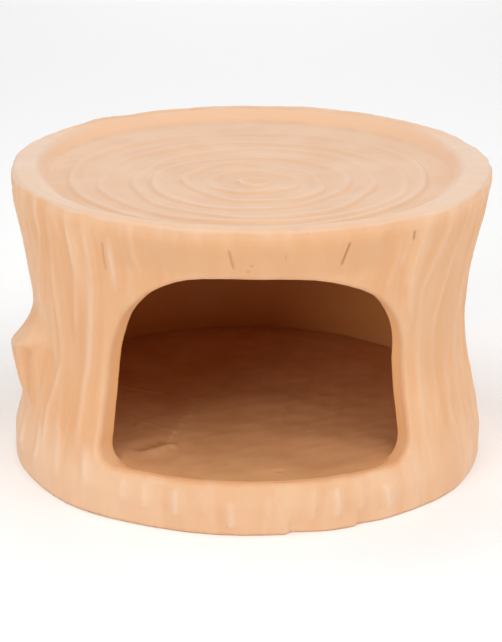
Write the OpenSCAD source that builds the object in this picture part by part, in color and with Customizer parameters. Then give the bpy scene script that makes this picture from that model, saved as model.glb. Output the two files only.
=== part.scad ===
// Small animal hideout: a hollow clay tree stump with a doorway, a flat floor and a top of growth rings.
// Millimetres, +Z up. The origin lies on the table at the middle of the foot, and the doorway faces -Y.

/* [Stump] */
// Height from the table to the rim
stump_h = 104; // [90:1:140]
// Outside diameter at the rim, on the bark flats
rim_d = 166; // [150:1:220]
// Outside diameter at the waist, on the bark flats
waist_d = 151.5; // [130:0.5:165]
// Outside diameter at the foot, on the bark flats
foot_d = 166; // [150:1:220]
// Height of the waist above the table
waist_z = 51; // [40:1:60]
// Height of the upright band under the rim
rim_band = 5; // [3:0.5:12]
// Height of the upright band above the foot
foot_band = 10; // [4:0.5:16]
// Thickness of the clay wall
wall_t = 7; // [5:0.5:9]
// Rounding of the outer edge at the rim and at the foot
edge_r = 3; // [1:0.5:5]

/* [Bark] */
// Number of bark ridges round the wall
ridge_count = 44; // [24:1:52]
// Height of a ridge above the flats
ridge_h = 1.1; // [0.4:0.1:2]
// Width of a ridge at its foot
ridge_w = 3; // [2:0.5:4]
// How far a ridge wanders to each side
ridge_wander = 1.2; // [0:0.1:1.6]
// Swell of the wall's round outline between broad lobes
lobe_h = 0.6; // [0:0.1:1.2]

/* [Top] */
// Depth of the dished top below the rim
dish_depth = 3.5; // [2.5:0.5:8]
// Thickness of the top disc
top_t = 7; // [5:0.5:10]
// Number of growth rings
ring_count = 8; // [4:1:12]
// Height of a growth ring above the disc
ring_h = 0.8; // [0.3:0.1:1.2]
// Width of a growth ring
ring_w = 4.2; // [3:0.1:5]
// Distance of the innermost ring from the middle, towards the doorway
pith_shift = 9; // [0:1:14]
// Width of the cove between the top disc and the rim
cove_w = 3.5; // [2:0.5:6]

/* [Floor] */
// Height of the hollow under the floor slab
foot_hollow = 10.5; // [8:0.5:16]
// Thickness of the floor slab
floor_t = 7; // [5:0.5:10]

/* [Joints] */
// Width of the clay coil worked into each hidden corner
coil_w = 5; // [3:0.5:7]
// Room for slip between a disc and the wall
slip_gap = 0.2; // [0.1:0.05:0.4]

/* [Doorway] */
// Width between the jambs, measured round the wall
door_w = 109; // [80:1:120]
// Shift of the doorway's middle towards +X, measured round the wall
door_shift = 3.3; // [-5:0.1:5]
// Depth of bare wall between the doorway and the coil under the top
lintel_drop = 1.3; // [0.5:0.1:10]
// Width of the round upper corner on the -X side
door_left_w = 42; // [20:1:50]
// Height of the round upper corner on the -X side
door_left_h = 42; // [20:1:50]
// Width of the round upper corner on the +X side
door_right_w = 55; // [20:1:60]
// Height of the round upper corner on the +X side
door_right_h = 38; // [20:1:50]
// Radius of the corners at the sill
door_sill_r = 10; // [5:1:14]

/* [Knot] */
// Angle from the doorway round to the knot on the -X side
knot_angle = 76; // [65:1:110]
// Height of the knot's middle above the table
knot_z = 37.5; // [35:0.5:60]
// Width of the knot round the wall
knot_w = 36; // [24:1:40]
// Height of the knot up the wall
knot_h = 33; // [24:1:40]
// How far the knot's lip stands out of the wall
knot_out = 8; // [4:0.5:12]

/* [Hidden] */
$fn = 96;

clay_wall = [0.86, 0.62, 0.46];
clay_top = [0.90, 0.73, 0.61];
clay_floor = [0.78, 0.55, 0.40];
clay_coil = [0.80, 0.56, 0.41];

// Levels up the stump, from the table to the rim
floor_top_z = foot_hollow + floor_t;
dish_z = stump_h - dish_depth;
roof_under_z = dish_z - top_t;
door_top_z = roof_under_z - coil_w - lintel_drop;

// Profile of the wall: the waist flares to the rim above it and to the foot below it.
// Cuts and rooted shapes run a little over the faces that they pass.
rim_r = rim_d / 2;
waist_r = waist_d / 2;
foot_r = foot_d / 2;
rim_full_z = stump_h - rim_band;
foot_full_z = foot_band;
rim_power = 1.65;
foot_power = 1.5;
over = 1;
body_rows = 13;
edge_rows = 3;

// Scatter of the ridges, as shares of their spacing and of their height
ridge_jitter = 0.18;
ridge_low = 0.35;
swell_spread = 120;
// Length of a ridge's sideways wave: the shortest, and how much longer the longest is
wave_min = 90;
wave_spread = 70;
// Waves of the lobes round the wall, and where each starts
lobe_waves = [3, 7, 11];
lobe_starts = [0, 40, 200];

// Blunt edge of the coves and coils, and the steps along their curve
feather = 0.6;
cove_steps = 6;

// Steps round a corner of the doorway, and the radii between which its cut runs
arc_steps = 10;
door_near = 30;
door_far = max(rim_r, foot_r) + wall_t;

// Growth rings: sideways drift, innermost radius as a share of their pitch, and steps across a crest
ring_drift = 1.6;
ring_inner_share = 0.7;
crest_steps = 6;

// Mesh of the knot, how deep its back lies in the wall, and how square its outline is
knot_rings = 8;
knot_spokes = 28;
knot_sink = 2;
knot_taper = 0.2;
knot_blunt = 0.75;
// Place of its lip, the curves of its top and of its broken face, and where its sides and edge fall away
knot_lip = 0.25;
knot_top_power = 1.6;
knot_face_power = 0.9;
knot_side = 0.6;
knot_edge_power = 4;

// A repeatable scatter from 0 to 1 for item k of series s
scatter_item = 78.233;
scatter_series = 37.719;
scatter_gain = 43758.5453;
function scatter(k, s) = let (v = sin(k * scatter_item + s * scatter_series) * scatter_gain) v - floor(v);

// Angle in degrees of a length measured round the waist
function arc_angle(len) = len / waist_r * 180 / PI;

// Point at angle a from the doorway, towards +X, at radius r and height z
function round_point(a, r, z) = [r * sin(a), -r * cos(a), z];

// Radius of the bark flats at height z, before the edges are rounded
function flat_r(z) = z > waist_z
    ? waist_r + (rim_r - waist_r) * pow(min(1, (z - waist_z) / (rim_full_z - waist_z)), rim_power)
    : waist_r + (foot_r - waist_r) * pow(min(1, (waist_z - z) / (waist_z - foot_full_z)), foot_power);

// Radius of the hollow inside the wall at height z
function bore_r(z) = flat_r(z) - wall_t;

// Inset of the rounded edge at depth d from the end of the wall
function edge_inset(d) = let (rest = edge_r - max(0, d))
    rest <= 0 ? 0 : edge_r - sqrt(edge_r * edge_r - rest * rest);

// Heights of the rows up the bark: close together on the two rounded edges, and past both ends
edge_steps = [for (i = [0 : edge_rows]) edge_r * (1 - cos(90 * i / edge_rows))];
body_steps = [for (i = [1 : body_rows]) edge_r + (stump_h - 2 * edge_r) * i / (body_rows + 1)];
edge_tops = [for (i = [edge_rows : -1 : 0]) stump_h - edge_steps[i]];
bark_rows = concat([-over], edge_steps, body_steps, edge_tops, [stump_h + over]);

// Middle of ridge k at height z, as an angle from the doorway
function ridge_angle(k, z) = let (
        turn = 360 * z / (wave_min + wave_spread * scatter(k, 2)),
        place = k + ridge_jitter * (2 * scatter(k, 1) - 1)
    ) 360 / ridge_count * place + arc_angle(ridge_wander) * sin(turn + 360 * scatter(k, 3));

// Height of ridge k above the flats at height z
function ridge_rise(k, z) = let (swell = sin(180 * z / stump_h + swell_spread * scatter(k, 4)))
    ridge_h * (ridge_low + (1 - ridge_low) * swell * swell);

// Swell of the outline at angle a, the sum of a few slow waves
function lobe(a) = lobe_h / len(lobe_waves) * sum_waves(a);
function sum_waves(a, i = 0) = i == len(lobe_waves) ? 0
    : sin(lobe_waves[i] * a + lobe_starts[i]) + sum_waves(a, i + 1);

// Point of bark column c at height z: each ridge has a foot, a crest and a foot
function bark_point(c, z) = let (
        k = floor(c / 3),
        side = c % 3 - 1,
        a = ridge_angle(k, z) + side * arc_angle(ridge_w) / 2,
        rise = side == 0 ? ridge_rise(k, z) : 0,
        inset = edge_inset(min(z, stump_h - z))
    ) round_point(a, flat_r(z) + lobe(a) + rise - inset, z);

// Triangles of a tube of rings with the given number of columns, seen from outside
function tube_faces(columns, rows) = [
    for (i = [0 : rows - 2], c = [0 : columns - 1]) let (
        next = (c + 1) % columns,
        low = i * columns,
        high = low + columns
    ) each [[low + c, high + c, high + next], [low + c, high + next, low + next]]
];

// The solid stump with its bark, before it is hollowed and trimmed flat at both ends
module bark_form() {
    columns = 3 * ridge_count;
    rows = len(bark_rows);
    last = (rows - 1) * columns;
    polyhedron(
        points = [for (z = bark_rows, c = [0 : columns - 1]) bark_point(c, z)],
        faces = concat(
            tube_faces(columns, rows),
            [[for (c = [0 : columns - 1]) c]],
            [[for (c = [columns - 1 : -1 : 0]) last + c]]
        )
    );
}

// The hollow inside the wall, shrunk by gap all round, open past both ends
module bore_form(gap) {
    steps = [for (i = [0 : body_rows + 1]) stump_h * i / (body_rows + 1)];
    rotate_extrude()
        polygon(concat(
            [[0, -over], [bore_r(0) - gap, -over]],
            [for (z = steps) [bore_r(z) - gap, z]],
            [[bore_r(stump_h) - gap, stump_h + over], [0, stump_h + over]]
        ));
}

// A slice of the hollow between two levels
module bore_slice(low, high, gap) {
    intersection() {
        bore_form(gap);
        translate([0, 0, low])
            cylinder(r = rim_r + foot_r, h = high - low);
    }
}

// Section of a cove that fills a corner at the origin, w towards -X and h towards +Y, with blunt edges.
// It reaches w past the corner on the +X side, where the wall trims it.
module cove_section(w, h) {
    polygon(concat(
        [[w, 0], [-w, 0]],
        [for (i = [0 : cove_steps]) let (t = 90 * i / cove_steps)
            [-w + (w - feather) * sin(t), h - (h - feather) * cos(t)]],
        [[w, h]]
    ));
}

// Quarter of an oval about a centre, from angle a0 to a1
function oval(centre, w, h, a0, a1) = [
    for (i = [0 : arc_steps]) let (t = a0 + (a1 - a0) * i / arc_steps) centre + [w * cos(t), h * sin(t)]
];

// Outline of the doorway: length round the wall against height
door_left = door_shift - door_w / 2;
door_right = door_shift + door_w / 2;
// The two upper corners shrink together where the doorway is too narrow for both
corner_fit = min(1, door_w / (door_left_w + door_right_w));
left_w = corner_fit * door_left_w;
right_w = corner_fit * door_right_w;
door_outline = concat(
    oval([door_left + door_sill_r, floor_top_z + door_sill_r], door_sill_r, door_sill_r, 180, 270),
    oval([door_right - door_sill_r, floor_top_z + door_sill_r], door_sill_r, door_sill_r, 270, 360),
    oval([door_right - right_w, door_top_z - door_right_h], right_w, door_right_h, 0, 90),
    oval([door_left + left_w, door_top_z - door_left_h], left_w, door_left_h, 90, 180)
);

// The doorway's cut, made straight towards the stump's axis so that the jambs are radial
module doorway() {
    translate([0, -door_near, 0])
        rotate([90, 0, 0])
            linear_extrude(height = door_far - door_near, scale = [door_far / door_near, 1], slices = 1)
                polygon([for (p = door_outline) [door_near * tan(arc_angle(p[0])), p[1]]]);
}

// The wall ring with its bark, rim and foot
module bark_wall() {
    color(clay_wall)
        difference() {
            intersection() {
                bark_form();
                cylinder(r = rim_r + foot_r, h = stump_h);
            }
            bore_form(0);
            doorway();
        }
}

// Growth rings: evenly spaced, their middles drifting from the stump's axis to the pith
ring_outer_r = bore_r(dish_z) - slip_gap - cove_w - ring_w / 2 - ring_drift;
ring_pitch = ring_outer_r / (ring_count - 1 + ring_inner_share);
function ring_centre(i) = let (
        share = i / (ring_count - 1),
        drift = i == 0 ? 0 : ring_drift * (2 * scatter(i, 5) - 1)
    ) [drift, -pith_shift * share, dish_z];

// Section of a growth ring: a rounded crest on the disc, rooted a little way into it
module ring_section() {
    polygon(concat(
        [[-ring_w / 2, -over]],
        [for (i = [0 : crest_steps]) let (t = 2 * i / crest_steps - 1)
            [t * ring_w / 2, ring_h * cos(90 * t)]],
        [[ring_w / 2, -over]]
    ));
}

// The top disc with its raised growth rings
module ring_top() {
    color(clay_top)
        union() {
            bore_slice(roof_under_z, dish_z, slip_gap);
            for (i = [0 : ring_count - 1])
                translate(ring_centre(i))
                    rotate_extrude()
                        translate([ring_outer_r - i * ring_pitch, 0])
                            ring_section();
        }
}

// The cove that joins the top disc to the rim
module rim_cove() {
    color(clay_top)
        intersection() {
            bore_slice(dish_z, stump_h, slip_gap);
            rotate_extrude()
                translate([bore_r(dish_z) - slip_gap, dish_z])
                    cove_section(cove_w, dish_depth);
        }
}

// A coil smoothed into the corner below a disc whose underside is at height z
module under_coil(z) {
    color(clay_coil)
        intersection() {
            bore_slice(z - coil_w, z, slip_gap);
            rotate_extrude()
                translate([min(bore_r(z), bore_r(z - coil_w)) - slip_gap, z])
                    mirror([0, 1])
                        cove_section(coil_w, coil_w);
        }
}

// The coil under the top disc
module roof_coil() {
    under_coil(roof_under_z);
}

// The floor slab, level with the sill
module floor_slab() {
    color(clay_floor)
        bore_slice(foot_hollow, floor_top_z, slip_gap);
}

// The coil under the floor slab
module floor_coil() {
    under_coil(foot_hollow);
}

// A smooth step from 0 to 1, and a sine or cosine made squarer
function ease(t) = let (c = min(1, max(0, t))) c * c * (3 - 2 * c);
function blunt(c) = sign(c) * pow(abs(c), knot_blunt);

// Point of the knot's outer skin on ring i, counted out from its middle, and spoke s.
// The skin is a broken stub: its top and its face meet in a lip, and both run out into the wall.
function knot_point(i, s) = let (
        out = i / knot_rings,
        u = out * blunt(cos(360 * s / knot_spokes)),
        v = out * blunt(sin(360 * s / knot_spokes)),
        z = knot_z + v * knot_h / 2,
        a = -knot_angle + u * (1 + knot_taper * v) * arc_angle(knot_w) / 2,
        top = pow((1 - v) / (1 - knot_lip), knot_top_power),
        face = pow((1 + v) / (1 + knot_lip), knot_face_power),
        side = 1 - ease((abs(u) - knot_side) / (1 - knot_side)),
        edge = pow(out, knot_edge_power),
        rise = knot_out * min(top, face) * side * (1 - edge) - knot_sink * edge
    ) round_point(a, flat_r(z) + lobe(a) + rise, z);

// The knot as a closed stub whose back lies inside the wall
module knot_form() {
    rim = 1 + (knot_rings - 1) * knot_spokes;
    back = rim + knot_spokes;
    spokes = [0 : knot_spokes - 1];
    polyhedron(
        points = concat(
            [knot_point(0, 0)],
            [for (i = [1 : knot_rings], s = spokes) knot_point(i, s)],
            [round_point(-knot_angle, flat_r(knot_z) - 2 * knot_sink, knot_z)]
        ),
        faces = concat(
            [for (s = spokes) [0, 1 + (s + 1) % knot_spokes, 1 + s]],
            [for (i = [0 : knot_rings - 2], s = spokes) let (
                    near = 1 + i * knot_spokes,
                    far = near + knot_spokes,
                    next = (s + 1) % knot_spokes
                ) each [[near + s, near + next, far + next], [near + s, far + next, far + s]]],
            [for (s = spokes) [back, rim + s, rim + (s + 1) % knot_spokes]]
        )
    );
}

// The branch knot, shaped to the bark that it is pressed on
module branch_knot() {
    color(clay_wall)
        difference() {
            knot_form();
            bark_form();
        }
}

bark_wall();
ring_top();
rim_cove();
roof_coil();
floor_slab();
floor_coil();
branch_knot();
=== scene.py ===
"""Looks of the small animal hideout: a clay tree stump, modelled in millimetres and set in metres."""

import math

import bmesh
import bpy
import numpy as np
from mathutils import Matrix, Vector


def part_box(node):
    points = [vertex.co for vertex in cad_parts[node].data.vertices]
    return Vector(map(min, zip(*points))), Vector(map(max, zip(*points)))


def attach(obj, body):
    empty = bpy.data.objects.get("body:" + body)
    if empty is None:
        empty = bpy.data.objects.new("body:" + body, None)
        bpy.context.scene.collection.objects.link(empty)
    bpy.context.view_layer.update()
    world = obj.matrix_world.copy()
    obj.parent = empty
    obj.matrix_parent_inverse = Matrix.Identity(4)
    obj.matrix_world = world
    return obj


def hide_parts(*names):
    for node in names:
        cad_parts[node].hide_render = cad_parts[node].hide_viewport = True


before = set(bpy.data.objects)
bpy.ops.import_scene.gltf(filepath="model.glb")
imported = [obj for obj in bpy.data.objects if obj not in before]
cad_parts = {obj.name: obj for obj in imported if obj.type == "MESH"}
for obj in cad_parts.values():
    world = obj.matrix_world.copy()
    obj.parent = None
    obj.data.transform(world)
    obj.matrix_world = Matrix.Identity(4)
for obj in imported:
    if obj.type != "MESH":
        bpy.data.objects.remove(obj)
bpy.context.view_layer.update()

MM = 0.001
TINY = 1e-9

# Levels of the stump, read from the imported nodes
STUMP_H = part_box("bark_wall")[1].z / MM
DISH_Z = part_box("rim_cove")[0].z / MM
TOP_UNDER_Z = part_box("ring_top")[0].z / MM
FLOOR_TOP_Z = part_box("floor_slab")[1].z / MM
FLOOR_UNDER_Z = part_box("floor_slab")[0].z / MM
DISH_DEPTH = STUMP_H - DISH_Z

# Profile of the wall
RIM_R = 83
WAIST_R = 75.75
FOOT_R = 83.3
WAIST_Z = 51
RIM_BAND = 5
FOOT_BAND = 10
RIM_POWER = 1.65
FOOT_POWER = 1.5
WALL_T = 7
SLIP_GAP = 0.2

# Softness of the sponged edges
RIM_SOFT = 1.8
FOOT_SOFT = 1
LIP_SOFT = 1.8
JAMB_SOFT = 2.2
SILL_SOFT = 2.5
BORE_SOFT = 0.9

# Changes of the doorway's edge, from lip to jamb below its top and from jamb to sill above the floor: the
# distance at which each starts, and the height over which it runs
LIP_DROP = 5
LIP_RUN = 20
SILL_RISE = 8
SILL_RUN = 6

# Slope between the rim and the dished top: the radii of its foot and its shoulder, how much further out both
# lie over the doorway, and how much further out the shoulder lies at the back
COVE_IN_R = 69
COVE_OUT_R = 75
COVE_FRONT = 4
COVE_BACK = 6

# Angles where the slope's front stretch ends and its back stretch starts, and the degrees each takes
COVE_FRONT_ANGLE = 75
COVE_FRONT_EASE = 45
COVE_BACK_ANGLE = 95
COVE_BACK_EASE = 50

# How far the rim sits towards +X of the foot, how much higher it is at the back, and from which angle and in
# how many degrees it rises
RIM_LEAN = 1.0
RIM_TILT = 0.5
RIM_TILT_ANGLE = 60
RIM_TILT_EASE = 90

# The foot's slight bulge on one side of the doorway, and its half width in degrees
FOOT_BULGE = 0.9
FOOT_BULGE_ANGLE = -45
FOOT_BULGE_W = 22

# Lobes of the wall: their height, and how many go round the stump and where they start, in radians
LOBE_RISE = 0.2
LOBES = [(3, 0), (7, 0.7), (11, 3.5)]

# Waves of uneven surfaces: height, length, share of z and seed. A small share of z draws a wave upwards
STREAK_WAVES = [(0.16, 8, 0.1, 3), (0.06, 3.5, 0.2, 4)]
WEAR_WAVES = [(0.3, 12, 0, 5), (0.15, 5, 0.5, 6)]
RIM_WAVES = [(0.25, 45, 1, 11), (0.15, 14, 1, 12), (0.08, 5, 1, 13)]
INNER_WAVES = [(0.25, 30, 1, 21)]
TOP_WAVES = [(0.15, 24, 1, 31)]
FLOOR_WAVES = [(0.3, 28, 1, 41), (0.1, 7, 1, 42)]
SMEAR_WAVES = [(0.4, 5, 1, 43)]
CRUMB_WAVES = [(0.3, 7, 1, 44)]
ROOF_COIL_WAVES = [(0.35, 14, 1, 51)]
FLOOR_COIL_WAVES = [(0.35, 14, 1, 52)]
DOOR_WAVES = [(0.15, 11, 1, 61)]
RIM_EDGE_WAVES = [(0.4, 14, 1, 71)]

# Outline of the doorway: length round the waist against height
DOOR_LEFT = -50.6
DOOR_RIGHT = 57.8
DOOR_TOP_Z = 86.6
DOOR_LEFT_OVAL = (42, 42)
DOOR_RIGHT_OVAL = (48, 34)
DOOR_LEFT_SILL_R = 6.5
DOOR_RIGHT_SILL_R = 9

# How many degrees nearer the middle the right jamb's outer edge is than its inner edge, the degrees in which
# this splay starts, and how far it goes on, in thicknesses of the wall
DOOR_SPLAY = 0.9
SPLAY_EASE = 20
SPLAY_END = 1.2

# The floor's slip laps over the sill: the radius it reaches, the angles between which it does, the degrees in
# which it ends, how thick it is, its root, and how far inside the wall it starts to rise
SILL_R = 79.6
SILL_LAP_FROM = -38
SILL_LAP_TO = 42
SILL_LAP_EASE = 10
SILL_LAP_T = 0.15
SILL_LAP_ROOT = 0.4
SILL_LAP_RUN = 6

# Wall wiped smooth over the doorway: degrees to each side, distances from its top and from the rim, and how
# much less streaked the wall is
WIPED_ANGLE = 38
WIPED_EASE = 10
WIPED_LIP = 1
WIPED_LIP_EASE = 4
WIPED_RIM = 3
WIPED_RIM_EASE = 6
WIPED_CALM = 0.7

# Wall wiped smooth to the right of that: the angle it reaches and its lowest height
RIGHT_ANGLE = 110
RIGHT_EASE = 20
RIGHT_LOW_Z = 35
RIGHT_LOW_EASE = 15

# The branch knot: its place and size, its lip's height and tilt, and how it narrows downwards
KNOT_ANGLE = -76
KNOT_Z = 40.5
KNOT_W = 36
KNOT_H = 39
KNOT_OUT = 8.1
KNOT_LIP = 0.21
KNOT_TILT = 0.26
KNOT_TAPER = 0.2

# Grids of the relief round the wall and of the doorway's distance
ANGLE_STEP = 0.25
HEIGHT_STEP = 0.5
HEIGHT_LOW = -8
HEIGHT_HIGH = 114

# Fineness of the meshes: the wall's, the degrees between the columns of the others, and their rings
VOXEL = 0.75
TURN_STEP = 0.75
COIL_TURN_STEP = 1.5
KNOT_TURN_STEP = 3
TOP_RINGS = 140
FLOOR_RINGS = 150
UNDER_RINGS = 12
COVE_RINGS = 24
COIL_RINGS = 9
KNOT_RINGS = 44

# Innermost rings of the discs: the top's radius, and the others' shares of the discs' radii
TOP_INNER_R = 0.4
FLOOR_INNER = 0.006
UNDER_INNER = 0.02

# Wall over the doorway that has a finer mesh for its cracks: degrees to each side, and lowest height
LINTEL_ANGLE = 42
LINTEL_Z = 80

# Width of the finer mesh along the rim, the foot and the doorway's edges
FINE_BAND = 4

# Bark ridges beside and under the doorway: lines of (degrees from the doorway, height), from the top down
FRONT_RIDGES = [
    ((-46, 108), (-46, 81), (-49, 54)),
    ((-40, 106), (-40, 80), (-42, 58), (-45, 39), (-44, 16)),
    ((-33, 103), (-33, 86), (-34, 72)),
    ((-28, 108), (-27, 93), (-25, 81)),
    ((-53, 108), (-57, 73), (-56, 46), (-60, 28), (-57, 8)),
    ((-56, 34), (-52, 23), (-50, 5)),
    ((-59, 108), (-60, 90), (-66, 71), (-69, 55)),
    ((-67, 108), (-69, 94), (-73, 80)),
    ((-42, 24), (-40, 8)),
    ((-64, 25), (-61, 14), (-62, 4)),
    ((-75, 108), (-79, 78), (-80, 58)),
    ((-73, 21), (-70, 4)),
    ((-30, 15.5), (-30, 7)),
    ((-24, 16), (-24, 6)),
    ((-17, 16), (-17, 5)),
    ((-11, 15.5), (-10, 6)),
    ((-4, 12), (-4, 2)),
    ((5, 14.5), (5, 6)),
    ((16, 16), (15, 4)),
    ((21, 15.5), (21, 4)),
    ((27, 15), (27, 5)),
    ((33, 13), (34, 3)),
    ((37, 102), (35, 85), (34, 74)),
    ((45, 108), (41, 83), (43, 64), (45, 44)),
    ((53, 108), (46, 76), (47, 45), (48, 25), (50, 7)),
    ((60, 108), (55, 71), (53, 62), (54, 38), (54, 17)),
    ((57, 44), (60, 31), (63, 10)),
    ((42, 45), (42, 30), (41, 14)),
]

# Ridges shorter than this are the narrow streaks of the foot
SHORT_RIDGE = 13

# Seed of the ridges' random draws
BARK_SEED = 7

# Ridges round the sides and back: the angles between which they stand, the degrees from one to the next,
# ranges of their top and low ends, their points, and how far each point drifts
BACK_FROM = 68
BACK_TO = 266
BACK_PITCH = (5, 8.5)
BACK_TOP_Z = (97, 109)
BACK_LOW_Z = (3, 14)
BACK_POINTS = 6
BACK_DRIFT = 1.3

# How often a back ridge breaks in two, the first point where it may and the first where it no longer may, and
# the degrees between its parts
FORK_CHANCE = 0.35
FORK_POINTS = (2, 4)
FORK_STEP = 1.5

# Degrees by which the knot pushes back ridges aside, and the degrees and height over which it does
KNOT_PUSH = 9
KNOT_PUSH_ANGLE = 14
KNOT_PUSH_H = 18

# Shape across a ridge: range of its height, half widths of its steep and gentle sides, a broad skirt, and the
# groove along its steep side
RIDGE_RISE = (0.65, 1.1)
SHORT_RIDGE_W = (0.6, 1.5)
LONG_RIDGE_W = (0.9, 2.0)
SKIRT_RISE = 0.25
SKIRT_W = 4
GROOVE_DEPTH = 0.45
GROOVE_OFF = 3.2
GROOVE_W = 1.6

# Shape along a ridge: how it swells and wanders, the grid steps over which its corners are rounded, and the
# share and the most of its length in which it ends
SWELL = 0.2
SWELL_LENGTH = 7
SWELL_TURN = 3
WANDER = 0.3
WANDER_LENGTH = 9
LINE_SMOOTH = 8
SHORT_TAPER = 0.2
LONG_TAPER = 0.45
TAPER_MOST = 14

# Chalk on the crests and painted shade in the grooves, on long ridges up to an angle and past it, and on
# short ridges for what they rise above a height
CHALK_AND_SHADE_LEFT = 0.55
CHALK_AND_SHADE_RIGHT = 0.4
CHALK_AND_SHADE_RIGHT_ANGLE = 30
CHALK_AND_SHADE_SHORT = 0.9
CHALK_AND_SHADE_SHORT_RISE = 0.5

# Where the bark fades out: past the rim and the foot, and beside the doorway
BARK_OVER = 1
BARK_FADE = 4
BARK_DOOR = 1
BARK_DOOR_FADE = 3.5

# Band below the rim in which the wall is worn, and how it eases
WEAR_BAND = 12
WEAR_EASE = 10

# Furrow round the knot on the doorway's side: its line in the same form, its depth, half width and shade
KNOT_FURROW = ((-65, 56), (-61.5, 42), (-62, 28), (-67, 18))
FURROW_DEPTH = 0.7
FURROW_W = 2.2
FURROW_SHADE = 0.2

# Nicks and cracks in the clay: how deep each is, from 0 to 1, and its line in the same form
CRACKS = [
    (0.5, ((-4.6, 98), (-4, 94), (-3.2, 90))),
    (0.65, ((22.7, 99.5), (20.8, 89.6))),
    (0.6, ((39.5, 99), (40, 95))),
    (0.25, ((8, 97), (8.2, 93))),
    (0.4, ((0.8, 92.6), (0.4, 91))),
    (0.4, ((0, 90.4), (-0.4, 89))),
    (0.5, ((-35.2, 96), (-35.6, 90), (-35.4, 84))),
]

# Depth in millimetres of a crack of 1, and half width of each crack
CRACK_DEPTH = 0.7
CRACK_W = 0.45

# Steps in the foot's outer edge: the angle where each starts, the degrees in which it runs out, and its depth
FOOT_STEPS = [(8.6, 12, 1.8), (25, 9, 1.5), (84, 12, 1.4), (141, 10, 1.6), (-150, 13, 1.4), (-104, 9, 1.2)]

# Degrees in which each of those steps starts
FOOT_STEP_EASE = 1.5


def soft_max(a, b, soft):
    """The larger of two fields, with the edge between them rounded over a width."""
    near = np.clip(soft - np.abs(a - b), 0, None)
    return np.maximum(a, b) + near * near / (4 * soft)


def ease(t):
    """A smooth step from 0 to 1 as t goes from 0 to 1."""
    t = np.clip(t, 0, 1)
    return t * t * (3 - 2 * t)


def within(value, low, high, low_ease, high_ease):
    """Share from 0 to 1 that rises over a width above low, and falls over a width below high."""
    return ease((value - low) / low_ease) * ease((high - value) / high_ease)


def bell(offset, half):
    """A smooth bump: 1 where the offset is 0, falling away over a half width."""
    return np.exp(-((offset / half) ** 2))


def touching(distance):
    """Share from 1 on a surface to 0 at a millimetre from it."""
    return ease(1 - distance)


def ripple(points, length, seed, waves=14, shortest=0.7, longest=1.5):
    """Smooth noise from about -1 to 1 at points, made of seeded waves near one length."""
    rng = np.random.default_rng(seed)
    turn = rng.normal(size=(waves, 3))
    turn /= np.linalg.norm(turn, axis=1)[:, None]
    turn *= 2 * math.pi / (length * rng.uniform(shortest, longest, waves))[:, None]
    start = rng.uniform(0, 2 * math.pi, waves)
    total = sum(np.sin(points @ turn[i] + start[i]) for i in range(waves))
    return total / math.sqrt(2 * waves)


def uneven(points, waves):
    """Height of a surface's waves at points."""
    return sum(rise * ripple(points * (1, 1, share), length, seed) for rise, length, share, seed in waves)


def flat_r(z):
    """Radius of the bark flats at a height."""
    up = np.clip((z - WAIST_Z) / (STUMP_H - RIM_BAND - WAIST_Z), 0, 1)
    down = np.clip((WAIST_Z - z) / (WAIST_Z - FOOT_BAND), 0, 1)
    return WAIST_R + (RIM_R - WAIST_R) * up**RIM_POWER + (FOOT_R - WAIST_R) * down**FOOT_POWER


def bore_r(z):
    """Radius of the hollow at a height."""
    return flat_r(z) - WALL_T


def slip_r(z):
    """Radius at a height of a piece that fits into the hollow."""
    return bore_r(z) - SLIP_GAP


def around(angle, r, z):
    """Points at angles from the doorway in degrees, radii and heights."""
    a = np.radians(angle)
    return np.stack(np.broadcast_arrays(r * np.sin(a), -r * np.cos(a), z), -1)


def angle_of(points):
    """Angle from the doorway of each point, in degrees."""
    return np.degrees(np.arctan2(points[..., 0], -points[..., 1]))


def wrapped(angle):
    """Angles brought to between -180 and 180 degrees."""
    return (angle + 180) % 360 - 180


class Relief:
    """A height map over angle and height, wrapped round the wall."""

    def __init__(self):
        self.angles = np.arange(-180, 180, ANGLE_STEP)
        self.heights = np.arange(HEIGHT_LOW, HEIGHT_HIGH, HEIGHT_STEP)
        self.angle, self.z = np.meshgrid(self.angles, self.heights)
        self.value = np.zeros_like(self.angle)

    def sample(self, angle, z):
        """The map's value between its grid points."""
        columns, last = len(self.angles), len(self.heights) - 1
        u = ((angle + 180) % 360) / ANGLE_STEP
        v = np.clip((z - HEIGHT_LOW) / HEIGHT_STEP, 0, last)
        i, j = np.minimum(np.floor(v).astype(int), last - 1), np.floor(u).astype(int)
        s, t = v - i, u - j
        j, k = j % columns, (j + 1) % columns
        low = self.value[i, j] * (1 - t) + self.value[i, k] * t
        high = self.value[i + 1, j] * (1 - t) + self.value[i + 1, k] * t
        return low * (1 - s) + high * s


def offset_from(relief, line, wander=0):
    """Distance across from a line of (angle, height) points, in millimetres, and its fade at both ends."""
    angles, heights = np.array(line, float).T
    z = relief.heights
    middle = np.interp(z, heights[::-1], angles[::-1])
    kernel = np.hanning(2 * LINE_SMOOTH + 1)
    middle = np.convolve(np.pad(middle, LINE_SMOOTH, mode="edge"), kernel / kernel.sum(), "valid")
    middle = middle + wander * np.sin(z / WANDER_LENGTH + angles[0])
    across = wrapped(relief.angle - middle[:, None])
    length = heights[0] - heights[-1]
    taper = min(TAPER_MOST, (SHORT_TAPER if length < SHORT_RIDGE else LONG_TAPER) * length)
    fade = within(z, heights[-1], heights[0], taper, taper)
    return np.radians(across) * flat_r(relief.z), fade[:, None]


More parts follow.
